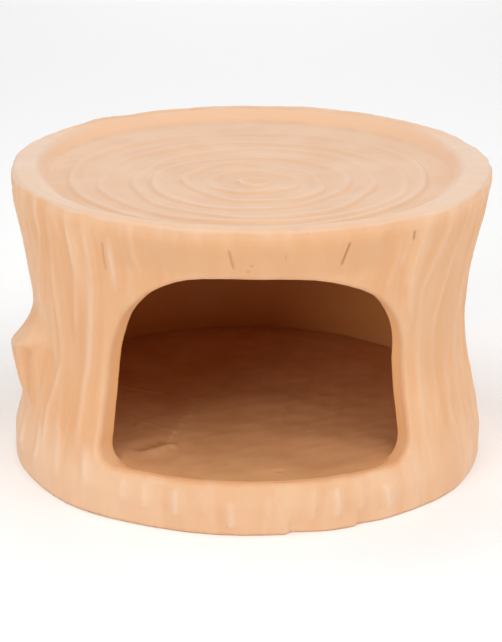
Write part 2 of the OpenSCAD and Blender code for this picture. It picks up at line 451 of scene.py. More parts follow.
def back_ridges(rng):
    """Lines of the ridges round the sides and back, parted by the knot."""
    lines = []
    angle = BACK_FROM
    while angle < BACK_TO:
        top = rng.uniform(*BACK_TOP_Z)
        low = rng.uniform(*BACK_LOW_Z)
        heights = np.linspace(top, low, BACK_POINTS)
        drift = np.cumsum(rng.normal(0, BACK_DRIFT, BACK_POINTS))
        angles = angle + drift - drift.mean()
        from_knot = wrapped(angles - KNOT_ANGLE)
        by_knot = bell(from_knot, KNOT_PUSH_ANGLE) * bell(heights - KNOT_Z, KNOT_PUSH_H)
        line = list(zip(angles + KNOT_PUSH * np.sign(from_knot) * by_knot, heights))
        if rng.random() < FORK_CHANCE:
            fork = int(rng.integers(*FORK_POINTS))
            lines.append(line[:fork + 1])
            line = [(a + FORK_STEP, z) for a, z in line[fork:]]
        lines.append(line)
        angle += rng.uniform(*BACK_PITCH)
    return lines


def add_ridge(ridges, chalk_and_shade, line, rng):
    """Adds a ridge along a line to the relief, its chalk to the crests and painted shade to its groove."""
    tilt = rng.choice((-1, 1))
    height = rng.uniform(*RIDGE_RISE)
    across, fade = offset_from(ridges, line, WANDER)
    first_angle, top = line[0]
    short = top - line[-1][1] < SHORT_RIDGE
    steep, gentle = SHORT_RIDGE_W if short else LONG_RIDGE_W
    rise = bell(across, np.where(across * tilt > 0, steep, gentle)) + SKIRT_RISE * bell(across, SKIRT_W)
    groove = GROOVE_DEPTH * bell(across - GROOVE_OFF * tilt, GROOVE_W)
    swell = 1 - SWELL + SWELL * np.sin(ridges.z / SWELL_LENGTH + SWELL_TURN * first_angle)
    ridge = height * fade * swell * (rise - groove)
    ridges.value += ridge
    # Crests are chalked pale, and the groove beside each ridge is painted darker as shade
    long_chalk_and_shade = CHALK_AND_SHADE_LEFT if first_angle < CHALK_AND_SHADE_RIGHT_ANGLE else CHALK_AND_SHADE_RIGHT
    chalk_and_shade.value += (CHALK_AND_SHADE_SHORT * (height - CHALK_AND_SHADE_SHORT_RISE) if short else long_chalk_and_shade) * ridge


def foot_steps(relief):
    """Depth of the steps in the foot's outer edge, where it is knocked back."""
    depth = 0
    for start, length, knock in FOOT_STEPS:
        past = wrapped(relief.angle - start)
        depth = depth + knock * ease(past / FOOT_STEP_EASE) * (1 - ease(past / length))
    return depth * ease((FOOT_BAND - relief.z) / FOOT_BAND)


def broad_form(relief):
    """The wall's lobes, the lean of its rim and the bulge of its foot."""
    a = np.radians(relief.angle)
    lobes = LOBE_RISE * sum(np.sin(count * a + start) for count, start in LOBES)
    lean = RIM_LEAN * np.sin(a) * ease((relief.z - WAIST_Z) / (STUMP_H - WAIST_Z))
    bulge = FOOT_BULGE * bell(relief.angle - FOOT_BULGE_ANGLE, FOOT_BULGE_W)
    lean += bulge * ease((WAIST_Z - relief.z) / (WAIST_Z - FOOT_BAND))
    return lobes + lean


def lintel_share(angle, z):
    """Where the wall over the doorway is wiped smooth, from 0 to 1."""
    over_door = ease((WIPED_ANGLE - np.abs(angle)) / WIPED_EASE)
    return over_door * within(z, DOOR_TOP_Z - WIPED_LIP, STUMP_H - WIPED_RIM, WIPED_LIP_EASE, WIPED_RIM_EASE)


def right_share(angle, z):
    """Where the wall to the right of the doorway is wiped smooth, from 0 to 1."""
    to_right = within(angle, WIPED_ANGLE, RIGHT_ANGLE, WIPED_EASE, RIGHT_EASE)
    return to_right * within(z, RIGHT_LOW_Z, STUMP_H - WIPED_RIM, RIGHT_LOW_EASE, WIPED_RIM_EASE)


def sill_reach(angle):
    """Radius out to which the floor's slip covers the sill."""
    edge = slip_r(FLOOR_TOP_Z)
    return edge + (SILL_R - edge) * within(angle, SILL_LAP_FROM, SILL_LAP_TO, SILL_LAP_EASE, SILL_LAP_EASE)


def bark_relief(door):
    """Relief of the bark, and maps of the chalky crests with painted shade in their grooves, and of the
    cracks.
    """
    rng = np.random.default_rng(BARK_SEED)
    bark, ridges, chalk_and_shade, crack = Relief(), Relief(), Relief(), Relief()
    for line in FRONT_RIDGES + back_ridges(rng):
        add_ridge(ridges, chalk_and_shade, line, rng)
    across, fade = offset_from(ridges, KNOT_FURROW)
    furrow = fade * bell(across, FURROW_W)
    ridges.value -= FURROW_DEPTH * furrow
    chalk_and_shade.value -= FURROW_SHADE * furrow
    for depth, line in CRACKS:
        across, fade = offset_from(crack, line)
        crack.value = np.maximum(crack.value, depth * fade * bell(across, CRACK_W))
    on_bark = within(bark.z, -BARK_OVER, STUMP_H + BARK_OVER, BARK_FADE, BARK_FADE)
    on_bark = on_bark * ease((door.value - BARK_DOOR) / BARK_DOOR_FADE)
    chalk_and_shade.value *= on_bark
    on_wall = around(bark.angle, WAIST_R, bark.z)
    streaks = uneven(on_wall, STREAK_WAVES) * (1 - WIPED_CALM * lintel_share(bark.angle, bark.z))
    worn = uneven(on_wall, WEAR_WAVES) * ease((bark.z - STUMP_H + WEAR_BAND) / WEAR_EASE)
    bark.value = broad_form(bark) + worn + (streaks + ridges.value) * on_bark
    bark.value = bark.value - CRACK_DEPTH * crack.value - foot_steps(bark)
    return bark, chalk_and_shade, crack


def oval(centre, size, start, end, steps=14):
    """Points of part of an oval, between two angles in degrees."""
    t = np.radians(np.linspace(start, end, steps))
    return np.stack([centre[0] + size[0] * np.cos(t), centre[1] + size[1] * np.sin(t)], -1)


def door_outline():
    """The doorway's outline, as length round the waist against height."""
    low_left, low_right = DOOR_LEFT_SILL_R, DOOR_RIGHT_SILL_R
    right, left = DOOR_RIGHT_OVAL, DOOR_LEFT_OVAL
    return np.concatenate([
        oval((DOOR_LEFT + low_left, FLOOR_TOP_Z + low_left), (low_left, low_left), 180, 270),
        oval((DOOR_RIGHT - low_right, FLOOR_TOP_Z + low_right), (low_right, low_right), 270, 360),
        oval((DOOR_RIGHT - right[0], DOOR_TOP_Z - right[1]), right, 0, 90),
        oval((DOOR_LEFT + left[0], DOOR_TOP_Z - left[1]), left, 90, 180),
    ])


def line_distance(x, y, start, end):
    """Distance of places from a straight line between two points."""
    (ax, ay), (bx, by) = start, end
    ex, ey = bx - ax, by - ay
    along = np.clip(((x - ax) * ex + (y - ay) * ey) / max(ex * ex + ey * ey, TINY), 0, 1)
    return np.hypot(x - ax - along * ex, y - ay - along * ey)


def outline_distance(outline, x, y):
    """Signed distance to a closed outline, negative inside it."""
    best = np.full(x.shape, np.inf)
    inside = np.zeros(x.shape, bool)
    for start, end in zip(outline, np.roll(outline, -1, 0)):
        best = np.minimum(best, line_distance(x, y, start, end))
        (ax, ay), (bx, by) = start, end
        crosses = (ay > y) != (by > y)
        inside ^= crosses & (x < ax + (bx - ax) * (y - ay) / ((by - ay) or TINY))
    return np.where(inside, -best, best)


def door_relief():
    """Distance from the doorway's outline over the wall."""
    door = Relief()
    length = np.radians(door.angle) * WAIST_R
    unrolled = np.stack([length, door.z, 0 * length], -1)
    door.value = outline_distance(door_outline(), length, door.z) + uneven(unrolled, DOOR_WAVES)
    return door


def inner_relief():
    """Unevenness of the wall's inside, as left by the hand."""
    inside = Relief()
    inside.value = uneven(around(inside.angle, bore_r(WAIST_Z), inside.z), INNER_WAVES)
    return inside


def rim_wave():
    """Unevenness of the rim's height round the stump, one value for each degree."""
    angles = np.arange(-180, 181)
    back = ease((np.abs(angles) - RIM_TILT_ANGLE) / RIM_TILT_EASE)
    return angles, RIM_TILT * back + uneven(around(angles, RIM_R, 0), RIM_WAVES)


door = door_relief()
bark, chalk_and_shade, crack = bark_relief(door)
inside = inner_relief()
wave = rim_wave()


def rim_z(r, angle):
    """Height of the rim and the slope inside it, which is narrow over the doorway and broad at the back."""
    turned = wrapped(angle)
    front = COVE_FRONT * ease((COVE_FRONT_ANGLE - np.abs(turned)) / COVE_FRONT_EASE)
    back = COVE_BACK * ease((np.abs(turned) - COVE_BACK_ANGLE) / COVE_BACK_EASE)
    foot = COVE_IN_R + front
    shoulder = COVE_OUT_R + front + back
    share = ease((r - foot) / (shoulder - foot))
    return DISH_Z + (DISH_DEPTH + np.interp(turned, *wave)) * share


def door_distance(angle, r, z):
    """Distance from the doorway's cut through the wall, which is splayed on the right."""
    splay = DOOR_SPLAY * ease(angle / SPLAY_EASE) * np.clip((r - bore_r(z)) / WALL_T, 0, SPLAY_END)
    return door.sample(angle + splay, z)


def wall_field(points):
    """Signed distance to the clay of the wall, negative inside it."""
    z = points[:, 2]
    r = np.hypot(points[:, 0], points[:, 1])
    angle = angle_of(points)
    outer = r - flat_r(z) - bark.sample(angle, z)
    inner = bore_r(z) - r + inside.sample(angle, z)
    shell = soft_max(outer, z - rim_z(r, angle), RIM_SOFT)
    shell = soft_max(shell, -z, FOOT_SOFT)
    lip = LIP_SOFT + (JAMB_SOFT - LIP_SOFT) * ease((DOOR_TOP_Z - LIP_DROP - z) / LIP_RUN)
    lip = lip + (SILL_SOFT - lip) * ease((FLOOR_TOP_Z + SILL_RISE - z) / SILL_RUN)
    shell = soft_max(shell, -door_distance(angle, r, z), lip)
    return soft_max(shell, inner, BORE_SOFT)


def settle(points, field, rounds=5, step=0.03, reach=1.5, flattest=0.3):
    """Moves points on to the zero surface of a field."""
    for _ in range(rounds):
        value = field(points)
        slope = np.stack([field(points + e) - value for e in step * np.eye(3)], -1) / step
        size = np.clip((slope * slope).sum(1), flattest, None)
        points = points - np.clip(value / size, -reach, reach)[:, None] * slope
    return points


def remeshed(node, voxel):
    """An even mesh over the solid of a node, in metres."""
    source = bpy.data.objects.new("source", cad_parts[node].data.copy())
    bpy.context.scene.collection.objects.link(source)
    remesh = source.modifiers.new("even", "REMESH")
    remesh.mode = "VOXEL"
    remesh.voxel_size = voxel * MM
    graph = bpy.context.evaluated_depsgraph_get()
    mesh = bpy.data.meshes.new_from_object(source.evaluated_get(graph))
    bpy.data.objects.remove(source)
    return mesh


def read_mesh(rows, name, width, kind=float):
    """Values of all the rows of a mesh's table, as an array."""
    flat = np.empty(len(rows) * width, kind)
    rows.foreach_get(name, flat)
    return flat.reshape(-1, width)


def refine(mesh, chosen):
    """Splits the chosen faces of a mesh in four."""
    form = bmesh.new()
    form.from_mesh(mesh)
    edges = {edge for face, pick in zip(form.faces, chosen) if pick for edge in face.edges}
    bmesh.ops.subdivide_edges(form, edges=list(edges), cuts=1, use_grid_fill=True)
    form.to_mesh(mesh)
    form.free()


def near_edges(points):
    """Picks out the points of the wall that lie near its edges and over the doorway."""
    z, angle = points[:, 2], angle_of(points)
    outer = np.hypot(points[:, 0], points[:, 1]) > flat_r(z) - FINE_BAND
    ends = outer & ((z > STUMP_H - FINE_BAND) | (z < FINE_BAND))
    lintel = outer & (z > LINTEL_Z) & (np.abs(angle) < LINTEL_ANGLE)
    return ends | lintel | (np.abs(door.sample(angle, z)) < FINE_BAND)


def relaxed(points, edges):
    """Points moved half way to the middle of their neighbours."""
    ends, others = edges.ravel(), edges[:, ::-1].ravel()
    count = np.bincount(ends, minlength=len(points))
    middle = np.stack([np.bincount(ends, points[others, i], len(points)) / count for i in range(3)], -1)
    return (points + middle) / 2


def skin(name, rows, closed):
    """A closed mesh through rings of points, which run on into the first or end in a point at each end."""
    count, columns = rows.shape[:2]
    index = np.arange(count * columns).reshape(count, columns)
    points = rows.reshape(-1, 3)
    near, far = (index, np.roll(index, -1, 0)) if closed else (index[:-1], index[1:])
    faces = np.stack([near, np.roll(near, -1, 1), np.roll(far, -1, 1), far], -1).reshape(-1, 4).tolist()
    if not closed:
        first, last = len(points), len(points) + 1
        points = np.concatenate([points, rows[0].mean(0)[None], rows[-1].mean(0)[None]])
        faces += [[first, b, a] for a, b in zip(index[0], np.roll(index[0], -1))]
        faces += [[last, a, b] for a, b in zip(index[-1], np.roll(index[-1], -1))]
    mesh = bpy.data.meshes.new(name)
    mesh.from_pydata((points * MM).tolist(), [], faces)
    form = bmesh.new()
    form.from_mesh(mesh)
    bmesh.ops.recalc_face_normals(form, faces=form.faces)
    form.to_mesh(mesh)
    form.free()
    return mesh


def with_ends(values):
    """Values for the rings of a skin, and 0 for its two end points."""
    return np.concatenate([np.ravel(values), [0, 0]])


def under_rows(angles, edge, z):
    """Rings of a disc's underside, from its edge to its middle."""
    return [around(angles, r, z) for r in edge * np.linspace(1, UNDER_INNER, UNDER_RINGS)]


def add_node(tree, kind, inputs=None, **settings):
    """Adds a shader node, with its inputs set to values or joined to other nodes' outputs."""
    made = tree.nodes.new(kind)
    for key, value in settings.items():
        setattr(made, key, value)
    for key, value in (inputs or {}).items():
        if isinstance(value, bpy.types.NodeSocket):
            tree.links.new(value, made.inputs[key])
        else:
            made.inputs[key].default_value = value
    return made


# Strength of the noises' smaller waves, and the places of a colour mix's sockets on its node
NOISE_ROUGHNESS = 0.55
MIX_SHARE = 0
MIX_FIRST = 6
MIX_SECOND = 7
MIX_RESULT = 2


def noise(tree, where, scale, detail):
    """Output of a noise texture."""
    inputs = {"Vector": where, "Scale": scale, "Detail": detail, "Roughness": NOISE_ROUGHNESS}
    return add_node(tree, "ShaderNodeTexNoise", inputs).outputs["Fac"]


def painted(tree, name):
    """A value that is painted on the mesh."""
    return add_node(tree, "ShaderNodeAttribute", attribute_name=name).outputs["Fac"]


def spread(tree, value, low, high, to_low, to_high):
    """A value mapped from one range to another, and held within it."""
    inputs = {"Value": value, "From Min": low, "From Max": high, "To Min": to_low, "To Max": to_high}
    return add_node(tree, "ShaderNodeMapRange", inputs).outputs["Result"]


def mixed(tree, share, first, second):
    """Two colours mixed by a share."""
    inputs = {MIX_SHARE: share, MIX_FIRST: first, MIX_SECOND: second}
    return add_node(tree, "ShaderNodeMix", inputs, data_type="RGBA").outputs[MIX_RESULT]


def layered(tree, tone, layers):
    """A tone under layers of (value, range in which the layer comes in, its greatest share, its colour)."""
    for value, span, most, colour in layers:
        tone = mixed(tree, spread(tree, value, *span, 0, most), tone, colour)
    return tone


# The clays: deep and pale tones of the body, the deep one also painted as shade in hollows, dust on the
# crests, which also serves for painted highlights, strength of the brushed streaks, and sheen
CLAYS = {
    "wall_clay": ((0.72, 0.37, 0.17, 1), (0.76, 0.445, 0.245, 1), (0.82, 0.585, 0.41, 1), 0.3, 0.08),
    "top_clay": ((0.69, 0.40, 0.225, 1), (0.72, 0.44, 0.26, 1), (0.78, 0.54, 0.38, 1), 0, 0.3),
    "floor_clay": ((0.61, 0.295, 0.125, 1), (0.67, 0.34, 0.155, 1), (0.74, 0.43, 0.235, 1), 0, 0),
    "coil_clay": ((0.68, 0.335, 0.15, 1), (0.76, 0.40, 0.19, 1), (0.82, 0.5, 0.3, 1), 0, 0),
}

# Colours of parts of the stump: the slope inside the rim, the rim, rubbed and painted pale with sheen,
# the jambs' brighter tone painted as light, the wall's inside, a deeper tone painted as its shade, the sill
# where the floor's slip is washed over it, and the wall wiped smooth over the doorway and to the right of it
PART_CLAY = {
    "slope": (0.79, 0.475, 0.28, 1),
    # Painted sheen and wear: the rim's pale, pinkish tone
    "rim": (0.735, 0.50, 0.345, 1),
    # Painted light: the jambs' brighter, more orange tone
    "jamb": (0.86, 0.445, 0.19, 1),
    # Painted shade: the wall's inside in a deeper, more saturated tone
    "inner": (0.72, 0.32, 0.09, 1),
    "sill": (0.66, 0.33, 0.15, 1),
    "wiped": (0.67, 0.365, 0.18, 1),
}

# Sheen of the rubbed rim
RIM_SHEEN = 0.3

# How much of the deep tone's red, green and blue is left in cracks and specks
DARK_TINT = (0.5, 0.38, 0.25)

# Scales of the clay's noises, in waves to the metre, and how far the streaks are drawn out upwards
BROAD_SCALE = 55
MOTTLE_SCALE = 60
STREAK_SCALE = 150
SPECK_SCALE = 1500
GRAIN_SCALE = 2600
UPRIGHT = (1, 1, 0.16)

# Ranges of the noises and of the painted crest in which each tone comes in, and the greatest share of some
PALE_SPAN = (0.38, 0.62)
MOTTLE_SPAN = (0.5, 0.66)
MOTTLE_MOST = 0.5
DUSTY_SPAN = (0.5, 0.72)
BARE_SPAN = (0.48, 0.3)
CREST_SPAN = (0.1, 1.0)
CREST_MOST = 0.75
HOLLOW_SPAN = (-0.02, -0.14)
HOLLOW_MOST = 0.6
CRACK_SPAN = (-0.2, -1.4)
CRACK_MOST = 0.9
SPECK_SPAN = (0.66, 0.74)
SPECK_MOST = 0.12

# Roughness of the clay over a range of its mottle, and its grain's strength and depth in metres
ROUGH_SPAN = (0.3, 0.7)
ROUGHNESS = (0.58, 0.72)
GRAIN_STRENGTH = 0.12
GRAIN_DEPTH = 0.0004


def clay(name, deep, pale, dust_and_highlight, brushed, sheen):
    """Matte fired clay: mottled, rubbed pale and painted with highlights on crests, painted shade in hollows
    and cracks, with upright streaks and grain.
    """
    material = bpy.data.materials.new(name)
    material.use_nodes = True
    tree = material.node_tree
    tree.nodes.clear()
    where = add_node(tree, "ShaderNodeTexCoord").outputs["Object"]
    upright = add_node(tree, "ShaderNodeMapping", {"Vector": where, "Scale": UPRIGHT}).outputs["Vector"]
    mottle = noise(tree, where, MOTTLE_SCALE, detail=5)
    streak = noise(tree, upright, STREAK_SCALE, detail=4)
    tone = layered(tree, deep, [
        (noise(tree, upright, BROAD_SCALE, detail=3), PALE_SPAN, 1, pale),
        (mottle, MOTTLE_SPAN, MOTTLE_MOST, deep),
        (streak, DUSTY_SPAN, brushed, dust_and_highlight),
        (streak, BARE_SPAN, brushed, deep),
    ])
    for part, colour in PART_CLAY.items():
        tone = mixed(tree, painted(tree, part), tone, colour)
    crest = painted(tree, "crest")
    dark = (*(tint * channel for tint, channel in zip(DARK_TINT, deep)), 1)
    tone = layered(tree, tone, [
        # Crests are painted pale with wear and highlights; hollows and cracks darker as painted shade
        (crest, CREST_SPAN, CREST_MOST, dust_and_highlight),
        (crest, HOLLOW_SPAN, HOLLOW_MOST, deep),
        (crest, CRACK_SPAN, CRACK_MOST, dark),
        (noise(tree, where, SPECK_SCALE, detail=2), SPECK_SPAN, SPECK_MOST, dark),
    ])
    grain = noise(tree, where, GRAIN_SCALE, detail=3)
    bump_inputs = {"Strength": GRAIN_STRENGTH, "Distance": GRAIN_DEPTH, "Height": grain}
    shader = add_node(tree, "ShaderNodeBsdfPrincipled", {
        "Base Color": tone,
        "Roughness": spread(tree, mottle, *ROUGH_SPAN, *ROUGHNESS),
        "Normal": add_node(tree, "ShaderNodeBump", bump_inputs).outputs["Normal"],
        "Sheen Weight": spread(tree, painted(tree, "rim"), 0, 1, sheen, RIM_SHEEN),
    })
    add_node(tree, "ShaderNodeOutputMaterial", {"Surface": shader.outputs["BSDF"]})
    return material


clays = {name: clay(name, *looks) for name, looks in CLAYS.items()}


def paint(mesh, name, values):
    """Stores a value at each vertex of a mesh, for its material."""
    tone = mesh.attributes.new(name, "FLOAT", "POINT")
    tone.data.foreach_set("value", values.astype(np.float32))


def add_piece(name, mesh, slot, node, crest=None):
    """Adds a piece of the object in place of a CAD node, in the clay of its slot."""
    mesh.name = name
    mesh.polygons.foreach_set("use_smooth", np.ones(len(mesh.polygons), bool))
    mesh.materials.clear()
    mesh.materials.append(clays[slot])
    if crest is not None:
        paint(mesh, "crest", crest)
    piece = bpy.data.objects.new(name, mesh)
    bpy.context.scene.collection.objects.link(piece)
    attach(piece, "root")
    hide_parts(node)


# How much less the rim is rubbed and painted with sheen at the back and over the doorway, and from which
# angles
BACK_LOSS = 0.65
BACK_LOSS_ANGLE = 105
BACK_LOSS_EASE = 28
FRONT_LOSS = 0.4
FRONT_LOSS_ANGLE = 60
FRONT_LOSS_EASE = 40

# Where the wall is painted pale: rubbed at the rim, and at the foot as painted light bounced up from the
# floor, more so on the left
RIM_RUB = 0.3
RIM_RUB_EASE = 3
FOOT_BOUNCE_LIGHT = 0.4
FOOT_BOUNCE_LEFT = 0.2
FOOT_BOUNCE_TURN = 40
FOOT_BOUNCE_Z = 30
FOOT_BOUNCE_EASE = 18

# Painted highlight on the arris of the lower jambs: its strength, distance from the doorway, half width and
# top
ARRIS_HIGHLIGHT = 0.35
ARRIS_OUT = 0.8
ARRIS_W = 0.8
ARRIS_LOW_EASE = 3
ARRIS_TOP_Z = 60
ARRIS_TOP_EASE = 20

# Height above the floor up to which the doorway's edge is the sill, the edge of the floor's slip on it, the
# dark seam outside that, and how dark a crack is
SILL_LEVEL = 0.7
SILL_LEVEL_EASE = 0.5
SLIP_EASE = 0.6
SEAM_SHADE = 0.4
SEAM_OUT = 0.3
SEAM_W = 0.4
CRACK_SHADE = 2

# Shares of the wall's parts: the rim's band, the painted light on the jambs, which is least at the sill and
# starts inside the wall's face, and the wiped stretches
RIM_EDGE = 1.6
JAMB_LIGHT_LEAST = 0.5
JAMB_LIGHT_UP = 2
JAMB_LIGHT_EASE = 8
JAMB_IN = 0.5
JAMB_EASE = 4
LINTEL_WIPED = 0.7
RIGHT_WIPED = 0.45


def rim_share(angle):
    """How pale the rim is rubbed and painted with sheen, from 0 to 1: least at the back, where the slope
    reaches its edge.
    """
    turned = np.abs(wrapped(angle))
    back = BACK_LOSS * ease((turned - BACK_LOSS_ANGLE) / BACK_LOSS_EASE)
    front = FRONT_LOSS * ease((FRONT_LOSS_ANGLE - turned) / FRONT_LOSS_EASE)
    return (1 - back) * (1 - front)


def wall_tones(points):
    """How pale or dark the wall is at points, and its share there of each part's colour."""
    r = np.hypot(points[:, 0], points[:, 1])
    z, angle = points[:, 2], angle_of(points)
    outside = touching(np.abs(r - flat_r(z) - bark.sample(angle, z)))
    from_door = door_distance(angle, r, z)
    in_door = touching(from_door)
    on_sill = in_door * ease((FLOOR_TOP_Z + SILL_LEVEL - z) / SILL_LEVEL_EASE)
    past_slip = r - sill_reach(angle)
    # Painted light bounced up from the floor on to the foot, stronger on the left; the rim's band is worn
    foot_bounce_light = FOOT_BOUNCE_LIGHT + FOOT_BOUNCE_LEFT * ease(-angle / FOOT_BOUNCE_TURN)
    worn_and_lit = RIM_RUB * ease((z - STUMP_H + RIM_BAND) / RIM_RUB_EASE)
    worn_and_lit = worn_and_lit + foot_bounce_light * ease((FOOT_BOUNCE_Z - z) / FOOT_BOUNCE_EASE)
    # Painted highlight along the outer edge of the lower jambs
    arris_highlight = ARRIS_HIGHLIGHT * bell(from_door - ARRIS_OUT, ARRIS_W)
    arris_highlight = arris_highlight * within(z, FLOOR_TOP_Z, ARRIS_TOP_Z, ARRIS_LOW_EASE, ARRIS_TOP_EASE)
    crest = (worn_and_lit + arris_highlight + chalk_and_shade.sample(angle, z) - CRACK_SHADE * crack.sample(angle, z)) * outside
    crest = crest - SEAM_SHADE * on_sill * bell(past_slip - SEAM_OUT, SEAM_W)
    # Painted light on the jambs: least near the sill, full a little above it
    jamb_light = JAMB_LIGHT_LEAST + (1 - JAMB_LIGHT_LEAST) * ease((z - FLOOR_TOP_Z - JAMB_LIGHT_UP) / JAMB_LIGHT_EASE)
    wiped = LINTEL_WIPED * lintel_share(angle, z) + RIGHT_WIPED * right_share(angle, z)
    shares = {
        # The rim's pale band: wear and painted sheen
        "rim": ease(z - STUMP_H + RIM_EDGE + uneven(points, RIM_EDGE_WAVES)) * rim_share(angle),
        "jamb": jamb_light * in_door * ease((flat_r(z) - JAMB_IN - r) / JAMB_EASE),
        # Painted shade on the wall's inside
        "inner": touching(r - bore_r(z)),
        "sill": on_sill * ease(-past_slip / SLIP_EASE),
        "wiped": wiped * outside,
    }
    return crest, shares


def make_wall():
    """The wall ring with its bark, rim, foot and doorway."""
    mesh = remeshed("bark_wall", VOXEL)
    refine(mesh, near_edges(read_mesh(mesh.polygons, "center", 3) / MM))
    edges = read_mesh(mesh.edges, "vertices", 2, np.int32)
    points = settle(read_mesh(mesh.vertices, "co", 3) / MM, wall_field)
    points = settle(relaxed(relaxed(points, edges), edges), wall_field, rounds=3)
    mesh.vertices.foreach_set("co", (points * MM).ravel())
    mesh.update()
    crest, shares = wall_tones(points)
    for part, share in shares.items():
        paint(mesh, part, share)
    add_piece("stump_wall", mesh, "wall_clay", "bark_wall", crest)


# Growth rings: their count, spacing and pith, how suddenly their centres leave it, and how far each strays
RING_SEED = 15
RING_COUNT = 7
RING_INNER_R = 5
RING_PITCH = 9.4
PITH = (1.2, -15)
PITH_POWER = 5
RING_STRAY = 1

# Shape of a ring: its height, that of the faint rings between, half widths of its sides, and how pale its
# crest is painted, as dust and as a painted highlight
RING_RISE = 0.8
FAINT_RISE = 0.1
RING_OUTER_W = 1.0
RING_INNER_W = 2.4
RING_PALE = 0.5

# Waves round a ring: counts and size, their least share, at the pith, and the rings in which it grows by 1
RING_WAVES = (2, 3, 5, 8)
RING_WAVE = 2.2
RING_WAVE_LEAST = 0.4
RING_WAVE_GROWTH = 4

# How a ring swells round its length: its mean height, and counts and sizes of the swells
RING_MEAN = 0.85
RING_SWELLS = [(2, 0.25), (5, 0.15)]

# About a full turn in radians, for where waves start
ANY_START = 6.3


def ring_rise(points):
    """Height of the growth rings above the disc."""
    rng = np.random.default_rng(RING_SEED)
    rise = np.zeros(len(points))
    for step in range(2 * RING_COUNT - 1):
        i = step / 2
        height = FAINT_RISE if step % 2 else RING_RISE
        share = 1 - (i / RING_COUNT) ** PITH_POWER
        x = points[:, 0] - (PITH[0] * share + rng.uniform(-RING_STRAY, RING_STRAY))
        y = points[:, 1] - PITH[1] * share
        turn = np.arctan2(y, x)
        radius = RING_INNER_R + RING_PITCH * i
        wavy = min(1, RING_WAVE_LEAST + i / RING_WAVE_GROWTH)
        for count in RING_WAVES:
            size = rng.normal(0, RING_WAVE / count)
            radius = radius + size * np.sin(count * turn + rng.uniform(0, ANY_START)) * wavy
        swell = RING_MEAN
        for count, size in RING_SWELLS:
            swell = swell + size * np.sin(count * turn + rng.uniform(0, ANY_START))
        out = np.hypot(x, y) - radius
        rise += swell * height * bell(out, np.where(out > 0, RING_OUTER_W, RING_INNER_W))
    return rise


def make_top():
    """The top disc with its carved growth rings."""
    angles = np.arange(0, 360, TURN_STEP)
    edge = slip_r(DISH_Z)
    rows = [around(angles, r, DISH_Z) for r in np.linspace(TOP_INNER_R, edge, TOP_RINGS)]
    rows = np.array(rows + under_rows(angles, edge, TOP_UNDER_Z))
    flat = rows.reshape(-1, 3)
    rise = ring_rise(flat) * (flat[:, 2] > TOP_UNDER_Z)
    flat[:, 2] += rise + uneven(flat, TOP_WAVES)
    mesh = skin("growth_ring_top", rows, False)
    # Ring crests are painted pale, as dust and as a painted highlight
    add_piece("growth_ring_top", mesh, "top_clay", "ring_top", with_ends(RING_PALE * rise))


# The cove's skin: how far its toe runs in, the radius it laps to, the step of its last rings, how deep its
# toe is sunk, and how far it stands proud of the slope
COVE_TOE = 1.5
COVE_LAP_R = 78.5
COVE_LAST = 0.1
COVE_SINK = 0.5
COVE_SKIM = 0.03

# Colours of the slope: its share, the climb in which it comes in, and the climb from which the rim's pale
# band, rubbed and painted with sheen, comes in
SLOPE_MOST = 0.8
SLOPE_EASE = 0.4
SLOPE_WORN_AND_LIT = 0.5


def make_cove():
    """The cove that runs from the dished top up over the inside of the rim."""
    angles = np.arange(0, 360, TURN_STEP)
    toe = COVE_IN_R - COVE_TOE
    radii = [*np.linspace(toe, COVE_LAP_R - 2 * COVE_LAST, COVE_RINGS), COVE_LAP_R - COVE_LAST, COVE_LAP_R]
    top = [around(angles, r, rim_z(r, angles) + COVE_SKIM) for r in radii]
    top[0][:, 2] -= COVE_SINK
    top[-1][:, 2] -= 2 * COVE_SKIM
    under = [around(angles, r, rim_z(r, angles) - 2 * COVE_SINK) for r in (COVE_LAP_R, toe)]
    rows = np.array(top + under)
    mesh = skin("rim_slope", rows, True)
    climb = ((rows[..., 2] - DISH_Z) / DISH_DEPTH).ravel()
    # The rim's pale band carries on over the cove's top: wear and painted sheen
    worn_and_lit = ease((climb - SLOPE_WORN_AND_LIT) / (1 - SLOPE_WORN_AND_LIT)) * np.tile(rim_share(angles), len(rows))
    paint(mesh, "slope", SLOPE_MOST * ease(climb / SLOPE_EASE))
    paint(mesh, "rim", worn_and_lit)
    add_piece("rim_slope", mesh, "top_clay", "rim_cove")


# A coil's fit: how far its top edge is tucked outwards, and how far its top and its face lie under the disc
COIL_TUCK = 0.1
COIL_TOP_GAP = 0.02
COIL_FACE_GAP = 0.05


def make_coil(name, node, level, waves):
    """A coil of clay thumbed into the corner under a disc."""
    angles = np.arange(0, 360, COIL_TURN_STEP)
    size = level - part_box(node)[0].z / MM
    section = [(slip_r(level) + COIL_TUCK, level - COIL_TOP_GAP)]
    for t in np.linspace(0, 1, COIL_RINGS):
        out = size * (1 - math.sin(t * math.pi / 2))
        down = size * (1 - math.cos(t * math.pi / 2))
        section.append((slip_r(level - down) - out, level - COIL_FACE_GAP - down))
    rows = np.array([around(angles, r, z) for r, z in section])
    thumb = uneven(rows, waves)
    thumb[[0, 1, -1]] = 0
    rows[..., 2] += thumb
    add_piece(name, skin(name, rows, True), "coil_clay", node)


# Smears of slip left on the floor, and a hollow beside them: two ends, half width and height of each
FLOOR_SMEARS = [
    ((-32.5, -54), (-26, -49.5), 2.6, 0.8),
    ((-35.5, -50.5), (-28.5, -44.8), 2.6, -0.9),
    ((-27, -44), (-25, -36), 1.6, 0.5),
    ((-25, -36), (-21, -20), 2.0, 0.35),
    ((-21, -20), (-17, -6), 3.0, 0.25),
    ((-38, -30), (-30, -22), 3.0, 0.35),
    ((-46, 8), (-30, 0), 0.8, 0.25),
    ((-42, -22), (-28, -34), 1.0, 0.2),
]

